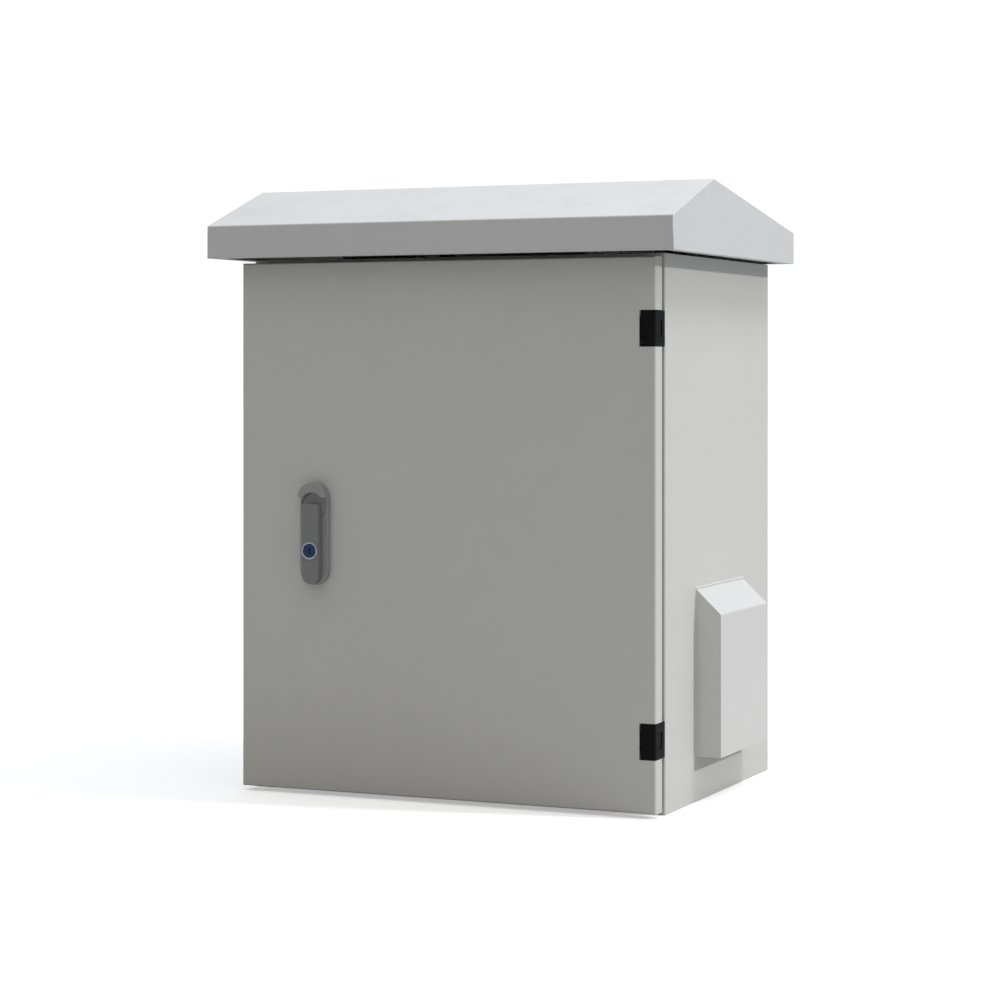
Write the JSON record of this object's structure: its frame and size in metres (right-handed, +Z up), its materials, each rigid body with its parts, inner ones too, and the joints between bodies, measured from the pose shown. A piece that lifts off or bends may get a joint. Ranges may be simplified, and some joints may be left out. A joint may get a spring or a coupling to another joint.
{
  "type": "roadside utility cabinet",
  "caption": "Roadside utility cabinet of folded sheet steel: gable rain roof, hinged door with swing-handle rod lock, side vent hood with fan, and rack rails inside.",
  "frame": {"origin": "centre of the anchor bolt pattern, on the face that the cabinet stands on", "axes": "+X to the right seen from the front, +Y to the back, +Z up; the door is at -Y"},
  "size_m": [0.672, 0.5, 0.822],
  "materials": {
    "paint_body": "light grey powder coat",
    "paint_roof": "light grey powder coat",
    "paint_door": "light grey powder coat",
    "paint_hood": "light grey powder coat",
    "zinc_sheet": "zinc-plated sheet steel",
    "rail_zinc": "zinc-plated sheet steel",
    "fasteners": "zinc-plated steel",
    "bright_steel": "bright steel",
    "filter_plastic": "grey plastic",
    "filter_fleece": "white filter fleece",
    "fan_plastic": "black plastic",
    "fan_blades": "black plastic",
    "guard_wire": "plated wire",
    "grommet_rubber": "black rubber",
    "seal_foam": "black foam seal",
    "copper_bar": "bare copper",
    "red_resin": "red moulded resin",
    "hinge_black": "black powder-coated zinc casting",
    "lock_cast": "grey coated zinc casting",
    "handle_cast": "grey coated zinc casting",
    "key_ring": "plated brass",
    "key_core": "dark blue"
  },
  "bodies": {
    "cabinet": {"shell": "paint_body", "top_plate": "paint_body", "bottom_plate": "paint_body", "anchor_plates": "zinc_sheet", "roof_cap": "paint_roof", "roof_bracket_left": "zinc_sheet", "roof_bracket_right": "zinc_sheet", "roof_bolts": "fasteners", "vent_hood": "paint_hood", "filter_frame": "filter_plastic", "filter_mat": "filter_fleece", "fan_housing": "fan_plastic", "fan_guard": "guard_wire", "fan_screws": "fasteners", "rack_rail_front_left": "rail_zinc", "rack_rail_front_right": "rail_zinc", "rack_rail_rear_left": "rail_zinc", "rack_rail_rear_right": "rail_zinc", "rail_strut_lower_left": "zinc_sheet", "rail_strut_lower_right": "zinc_sheet", "rail_strut_upper_left": "zinc_sheet", "rail_strut_upper_right": "zinc_sheet", "gland_plate": "zinc_sheet", "cable_grommet_left": "grommet_rubber", "cable_grommet_right": "grommet_rubber", "gland_plate_screws": "fasteners", "earth_bar": "copper_bar", "earth_insulators": "red_resin", "earth_screws": "fasteners", "hinge_frame_leaf_upper": "hinge_black", "hinge_frame_leaf_lower": "hinge_black", "hinge_pin_upper": "bright_steel", "hinge_pin_lower": "bright_steel"},
    "door": {"door_panel": "paint_door", "door_seal": "seal_foam", "door_stiffener": "paint_door", "hinge_door_leaf_upper": "hinge_black", "hinge_door_leaf_lower": "hinge_black", "hinge_nuts": "fasteners", "lock_plate": "lock_cast", "lock_nut": "fasteners", "gear_case": "zinc_sheet", "rod_guide_upper": "zinc_sheet", "rod_guide_lower": "zinc_sheet"},
    "spindle": {"lock_spindle": "lock_cast", "drive_pinion": "bright_steel", "handle_pin": "fasteners"},
    "handle": {"lock_handle": "handle_cast", "key_cylinder": "key_ring"},
    "key": {"key_plug": "key_core"},
    "rod_up": {"upper_rod": "bright_steel"},
    "rod_down": {"lower_rod": "bright_steel"},
    "fan": {"fan_rotor": "fan_blades"}
  },
  "joints": [
    {"name": "door_swing", "type": "hinge", "parent": "cabinet", "child": "door", "pos_m": [0.291, -0.236, 0.3615], "axis": [0, 0, 1], "range_deg": [0, 120]},
    {"name": "handle_turn", "type": "hinge", "parent": "door", "child": "spindle", "pos_m": [-0.186, -0.256, 0.389], "axis": [0, -1, 0], "range_deg": [0, 90]},
    {"name": "handle_tilt", "type": "hinge", "parent": "spindle", "child": "handle", "pos_m": [-0.186, -0.261, 0.384], "axis": [-1, 0, 0], "range_deg": [0, 30]},
    {"name": "key_turn", "type": "hinge", "parent": "handle", "child": "key", "pos_m": [-0.186, -0.268, 0.33], "axis": [0, 1, 0], "range_deg": [0, 90]},
    {"name": "upper_rod_slide", "type": "slide", "parent": "door", "child": "rod_up", "axis": [0, 0, 1], "range_m": [0, 0.014]},
    {"name": "lower_rod_slide", "type": "slide", "parent": "door", "child": "rod_down", "axis": [0, 0, -1], "range_m": [0, 0.014]},
    {"name": "fan_spin", "type": "hinge", "parent": "cabinet", "child": "fan", "pos_m": [0.275, 0, 0.1715], "axis": [1, 0, 0], "continuous": true}
  ],
  "couplings": [
    {"joint": "upper_rod_slide", "follows": "handle_turn", "m_per_rad": 0.0089126},
    {"joint": "lower_rod_slide", "follows": "handle_turn", "m_per_rad": 0.0089126}
  ]
}
